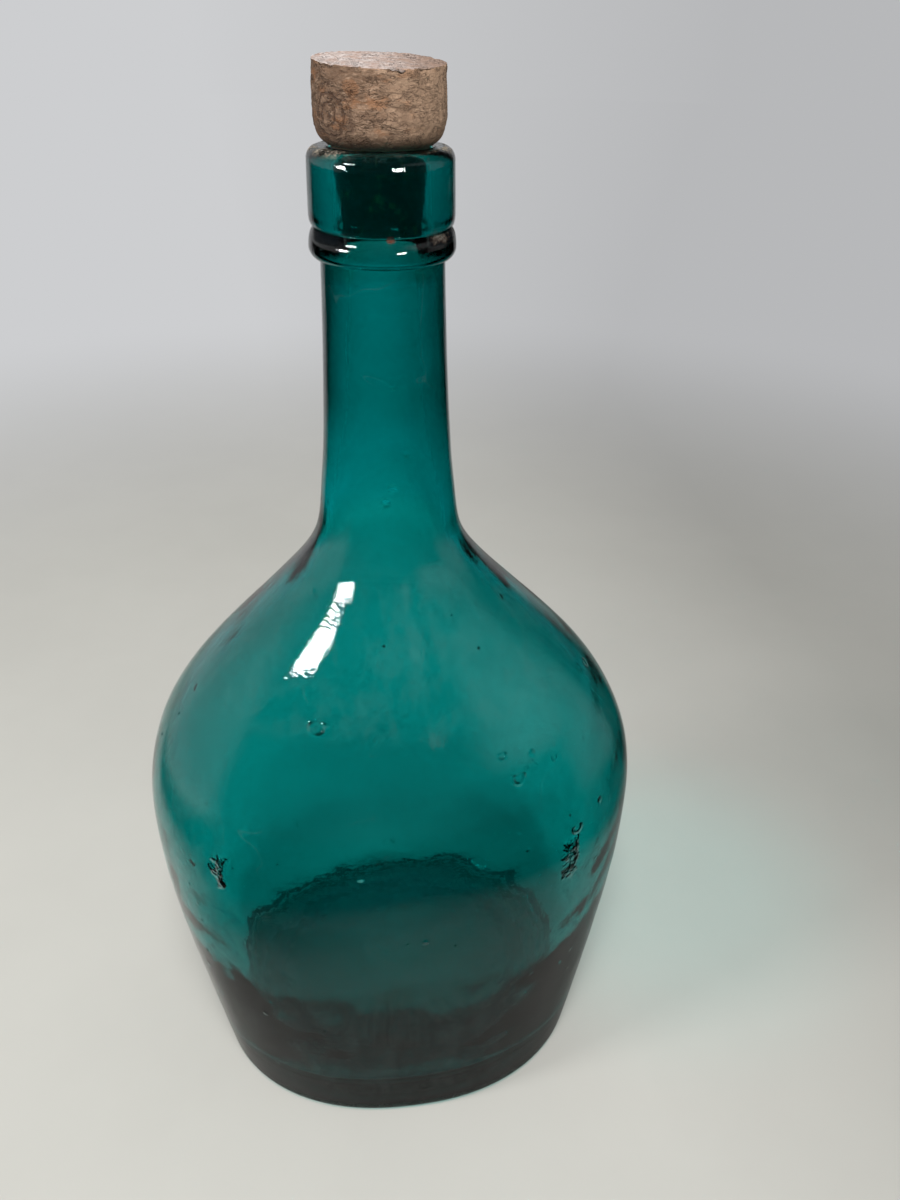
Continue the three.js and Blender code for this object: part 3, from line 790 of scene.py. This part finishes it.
studio = dict(
    # the wall is darker to the right, and plain light comes from all around, a little more from the right
    backdrop=colour(198, 199, 201), shadeFrom=-0.1, shadeTo=0.37, shadeLevels=(1.08, 0.84),
    worldLevel=0.27, worldLean=0.2,
    # the floor turns into the backdrop, has a painted teal light where light comes through the glass, and a
    # painted shadow further right
    floor=colour(203, 202, 195), floorRadius=4.0, floorRings=40, floorColumns=96, fadeFrom=0.30, fadeTo=0.9,
    mottle=(9.0, 5, 0.6), mottleEdge=(0.3, 0.7), mottleLevel=0.96,
    tealLight=(0.94, 1.08, 1.08, 1), tealLightPlace=(0.115, 0.030, 0), tealLightReach=(0.100, 0.025),
    rightShadow=(0.70, 0.70, 0.70, 1), rightShadowFrom=0.08, rightShadowTo=0.26,
    # what the glass mirrors of the walls: direction, where it starts, where it is full, and how bright
    highLight=((0.83, -0.48, 0.28), 0.78, 0.99, 0.75), highLightRise=(0.06, 0.26),
    wallLights=(((-0.82, 0.57, 0), 0.42, 0.68, 0.85), ((1, -0.03, 0), 0.90, 0.99, 0.50),
                ((0, 1, 0), 0.70, 0.85, 0.75), ((0.205, -0.887, 0.415), 0.9970, 0.9994, 0.90)),
    wallTop=(0.55, 0.32), wallLeast=0.03, wallReach=(0.32, 0.55),
    # what it mirrors of the floor near it: around a middle, less close in, and not as far up as the neck
    nearPlace=(0.015, 0.02, 0), nearReach=(0.175, 0.13), nearLevel=0.52, nearRay=(0.26, 0.19),
    nearDip=(0.060, 0.105), nearDipShare=0.45,
    # and of the floor behind it, between a left and a right side
    behindLeft=(0.6, -0.26, -0.15), behindRight=(-0.4, 0.20, 0.11), behindFront=(-0.08, 0.02),
    behindLevel=0.9, behindFade=(0.2, 0.8, 1.0, 0.5), behindSide=(-0.05, 0.10), behindSideShare=0.4,
    # the neck mirrors only a sector behind it
    neckAxis=0.010, neckHeight=(0.022, 0.036), neckSector=(0.70, 0.85),
    # place, aim, width, length, watts and fan of each lamp: the two that light, overhead and at the left,
    # and three that are only mirrored, one by the shoulder and two by the lip
    lamps=(((-0.06, -0.64, 1.34), (0, 0, 0.15), 0.45, 0.45, 17.0, 180),
           ((-0.77, -0.27, 0.60), (0, 0, 0.10), 0.20, 0.20, 3.0, 180),
           ((-0.452, -0.328, 0.4515), (-0.020, -0.025, 0.168), 0.175, 0.056, 0.090, 40),
           ((-0.248, -0.116, 0.277), (-0.009, -0.014, 0.272), 0.070, 0.012, 0.0075, 24),
           ((0.113, -0.252, 0.276), (0.0035, -0.0165, 0.272), 0.065, 0.012, 0.0050, 24)),
    cameraPlace=(-0.01531, -0.22942, 0.3105), heading=(0.1402, 0.9901), pitch=math.radians(32.13),
    roll=math.radians(1.03), lens=28.5,
)


def throughLens(tree):
    # 1 for rays that are seen straight, through the glass or in its mirror, and the mirrored ones alone.
    path = addNode(tree, "ShaderNodeLightPath").outputs
    direct = mathNode(tree, "SUBTRACT", 1.0, path["Diffuse Depth"], clamp=True)  # not light for a surface
    through = times(tree, path["Is Transmission Ray"], direct)
    bounced = times(tree, path["Is Glossy Ray"], lessOf(tree, 1.0, path["Is Transmission Ray"]))
    return most(tree, path["Is Camera Ray"], through, bounced), bounced


def mirroredWalls(tree, way, s):
    # The brightest of the lights on the walls, none high up, and a little everywhere.
    def lobe(toward, low, high, amount):
        return times(tree, between(tree, vectorNode(tree, "DOT_PRODUCT", way, toward), low, high), amount)

    rise = axes(tree, way)[2]
    level = times(tree, lobe(*s["highLight"]), between(tree, rise, *s["highLightRise"]))
    level = most(tree, level, *[lobe(*light) for light in s["wallLights"]])
    return most(tree, times(tree, level, between(tree, rise, *s["wallTop"])), s["wallLeast"])


def wallShade(tree, way, s):
    # Less light the further right the way goes.
    return remap(tree, axes(tree, way)[0], s["shadeFrom"], s["shadeTo"], *s["shadeLevels"])


def floorTone(tree, place, s):
    # The mottled floor, times a painted teal light near the bottle's right, times a painted shadow further
    # right.
    mottle = between(tree, noise(tree, place, *s["mottle"]), *s["mottleEdge"])
    tone = mixColours(tree, mottle, tuple(c * s["mottleLevel"] for c in s["floor"][:3]) + (1,), s["floor"])
    # painted teal light on the floor at the bottle's right
    tealLight = between(tree, vectorNode(tree, "DISTANCE", place, s["tealLightPlace"]), *s["tealLightReach"])
    tone = mixColours(tree, tealLight, tone, s["tealLight"], "MULTIPLY")
    # painted shadow, darker further right
    right = remap(tree, axes(tree, place)[0], s["rightShadowFrom"], s["rightShadowTo"])
    return mixColours(tree, right, tone, s["rightShadow"], "MULTIPLY")


def mirroredFloor(tree, place, way, distance, s):
    # How much of the floor the glass mirrors: the brightest of near, far and behind. Ray length squared less
    # distance squared is about the height squared of the glass that mirrors this spot, which tells the neck.
    x, y, _ = axes(tree, place)
    reach = addNode(tree, "ShaderNodeLightPath").outputs["Ray Length"]
    aside = vectorNode(tree, "DISTANCE", place, s["nearPlace"])
    near = times(tree, between(tree, aside, *s["nearReach"]), s["nearLevel"],
                 between(tree, reach, *s["nearRay"]),
                 scaled(tree, between(tree, aside, *s["nearDip"]), s["nearDipShare"], 1 - s["nearDipShare"]))
    far = times(tree, between(tree, distance, *s["wallReach"]), mirroredWalls(tree, way, s))
    (leftSlope, *leftEdge), (rightSlope, *rightEdge) = s["behindLeft"], s["behindRight"]
    level = times(tree, between(tree, x, *s["behindSide"]), s["behindSideShare"])
    behind = times(tree, between(tree, scaled(tree, y, leftSlope, x), *leftEdge),
                   between(tree, scaled(tree, y, rightSlope, x), *rightEdge),
                   between(tree, y, *s["behindFront"]), remap(tree, distance, *s["behindFade"]),
                   lessOf(tree, s["behindLevel"], level))
    fromNeck = lessOf(tree, distance, s["neckAxis"])
    heightSquared = lessOf(tree, mathNode(tree, "POWER", reach, 2.0), mathNode(tree, "POWER", fromNeck, 2.0))
    sector = between(tree, vectorNode(tree, "DOT_PRODUCT", way, (0, 1, 0)), *s["neckSector"])
    low = lessOf(tree, 1.0, between(tree, heightSquared, *s["neckHeight"]))
    return times(tree, most(tree, near, far, behind), most(tree, low, sector))


def makeFloor(s):
    # Rings of radius R t^2. Far out the floor glows like the backdrop where it is seen, and it is black
    # to the glass where the glass doesn't mirror it.
    rings = s["floorRadius"] * (np.linspace(0.02, 1, s["floorRings"]) ** 2)[:, None]
    angle = np.linspace(0, 2 * math.pi, s["floorColumns"], endpoint=False)[None]
    points = np.stack([rings * np.cos(angle), rings * np.sin(angle), 0 * rings * angle], -1)[:, ::-1]
    floor = sheetMesh("floor", points, firstPole=True)
    material, tree, shader, output, place = newMaterial("paleFloor")
    tone = floorTone(tree, place, s)
    feed(tree, shader, {"Base Color": tone, "Roughness": 0.7, "Specular IOR Level": 0.25})
    distance, way = vectorNode(tree, "LENGTH", place), vectorNode(tree, "NORMALIZE", place)
    seen, glossy = throughLens(tree)
    far = times(tree, between(tree, distance, s["fadeFrom"], s["fadeTo"]), seen)
    glow = addNode(tree, "ShaderNodeEmission", {"Color": s["backdrop"], "Strength": wallShade(tree, way, s)})
    mix = addNode(tree, "ShaderNodeMixShader", {0: far, 1: shader.outputs[0], 2: glow.outputs[0]})
    hidden = times(tree, lessOf(tree, 1.0, mirroredFloor(tree, place, way, distance, s)), glossy)
    black = addNode(tree, "ShaderNodeEmission", {"Color": (0, 0, 0, 1), "Strength": 0.0})
    mix = addNode(tree, "ShaderNodeMixShader", {0: hidden, 1: mix.outputs[0], 2: black.outputs[0]})
    feed(tree, output, {"Surface": mix.outputs[0]})
    floor.data.materials.append(material)


def makeWorld(s):
    # The backdrop where it is seen, the walls where it is mirrored, and plain light otherwise. None of that
    # light comes through the glass, because the shadow's colour already brings it.
    world = bpy.data.worlds.new("studioWorld")
    world.use_nodes = True
    tree = world.node_tree
    seen, glossy = throughLens(tree)
    direction = addNode(tree, "ShaderNodeTexCoord").outputs["Generated"]
    lit = scaled(tree, axes(tree, direction)[0], s["worldLean"] * s["worldLevel"], s["worldLevel"])
    passed = addNode(tree, "ShaderNodeLightPath").outputs["Is Transmission Ray"]
    lit = times(tree, lit, lessOf(tree, 1.0, passed), lessOf(tree, 1.0, seen))
    plain = times(tree, lessOf(tree, seen, glossy), wallShade(tree, direction, s))
    mirrored = times(tree, glossy, mirroredWalls(tree, direction, s))
    feed(tree, tree.nodes["Background"], {
        "Color": mixColours(tree, seen, (1, 1, 1, 1), s["backdrop"]),
        "Strength": mathNode(tree, "ADD", mathNode(tree, "ADD", mirrored, plain), lit)})
    bpy.context.scene.world = world


def makeLamps(s):
    # Panels, turned so that local -Z looks at their aim. One with a full fan lights and isn't mirrored,
    # and a narrow one is only mirrored.
    for i, (place, aim, width, length, watts, fan) in enumerate(s["lamps"]):
        lamp = bpy.data.lights.new("softLamp%d" % (i + 1), "AREA")
        lamp.shape, lamp.size, lamp.size_y, lamp.energy = "RECTANGLE", width, length, watts
        lamp.spread = math.radians(fan)
        holder = bpy.data.objects.new(lamp.name, lamp)
        holder.location = place
        holder.rotation_euler = (Vector(place) - Vector(aim)).to_track_quat("Z", "Y").to_euler()
        holder.visible_camera = False
        holder.visible_glossy = holder.visible_transmission = fan < 180
        holder.visible_diffuse = fan == 180
        bpy.context.scene.collection.objects.link(holder)


def makeCamera(s):
    # forward = heading cos(pitch) - up sin(pitch), and right and up turned by the roll
    (hx, hy), pitch, roll = s["heading"], s["pitch"], s["roll"]
    forward = Vector((hx * math.cos(pitch), hy * math.cos(pitch), -math.sin(pitch))).normalized()
    level = forward.cross(Vector((0, 0, 1))).normalized()
    upright = level.cross(forward)
    right = level * math.cos(roll) + upright * math.sin(roll)
    up = upright * math.cos(roll) - level * math.sin(roll)
    lens = bpy.data.cameras.new("camera")
    lens.lens, lens.sensor_width, lens.sensor_fit, lens.clip_start = s["lens"], 36.0, "AUTO", 0.01
    camera = bpy.data.objects.new("camera", lens)
    turn = Matrix((right, up, -forward)).transposed().to_4x4()
    camera.matrix_world = Matrix.Translation(s["cameraPlace"]) @ turn
    bpy.context.scene.collection.objects.link(camera)
    bpy.context.scene.camera = camera


makeFloor(studio)
makeWorld(studio)
makeLamps(studio)
makeCamera(studio)
bpy.context.scene.view_settings.view_transform = "Standard"
print("studio made")
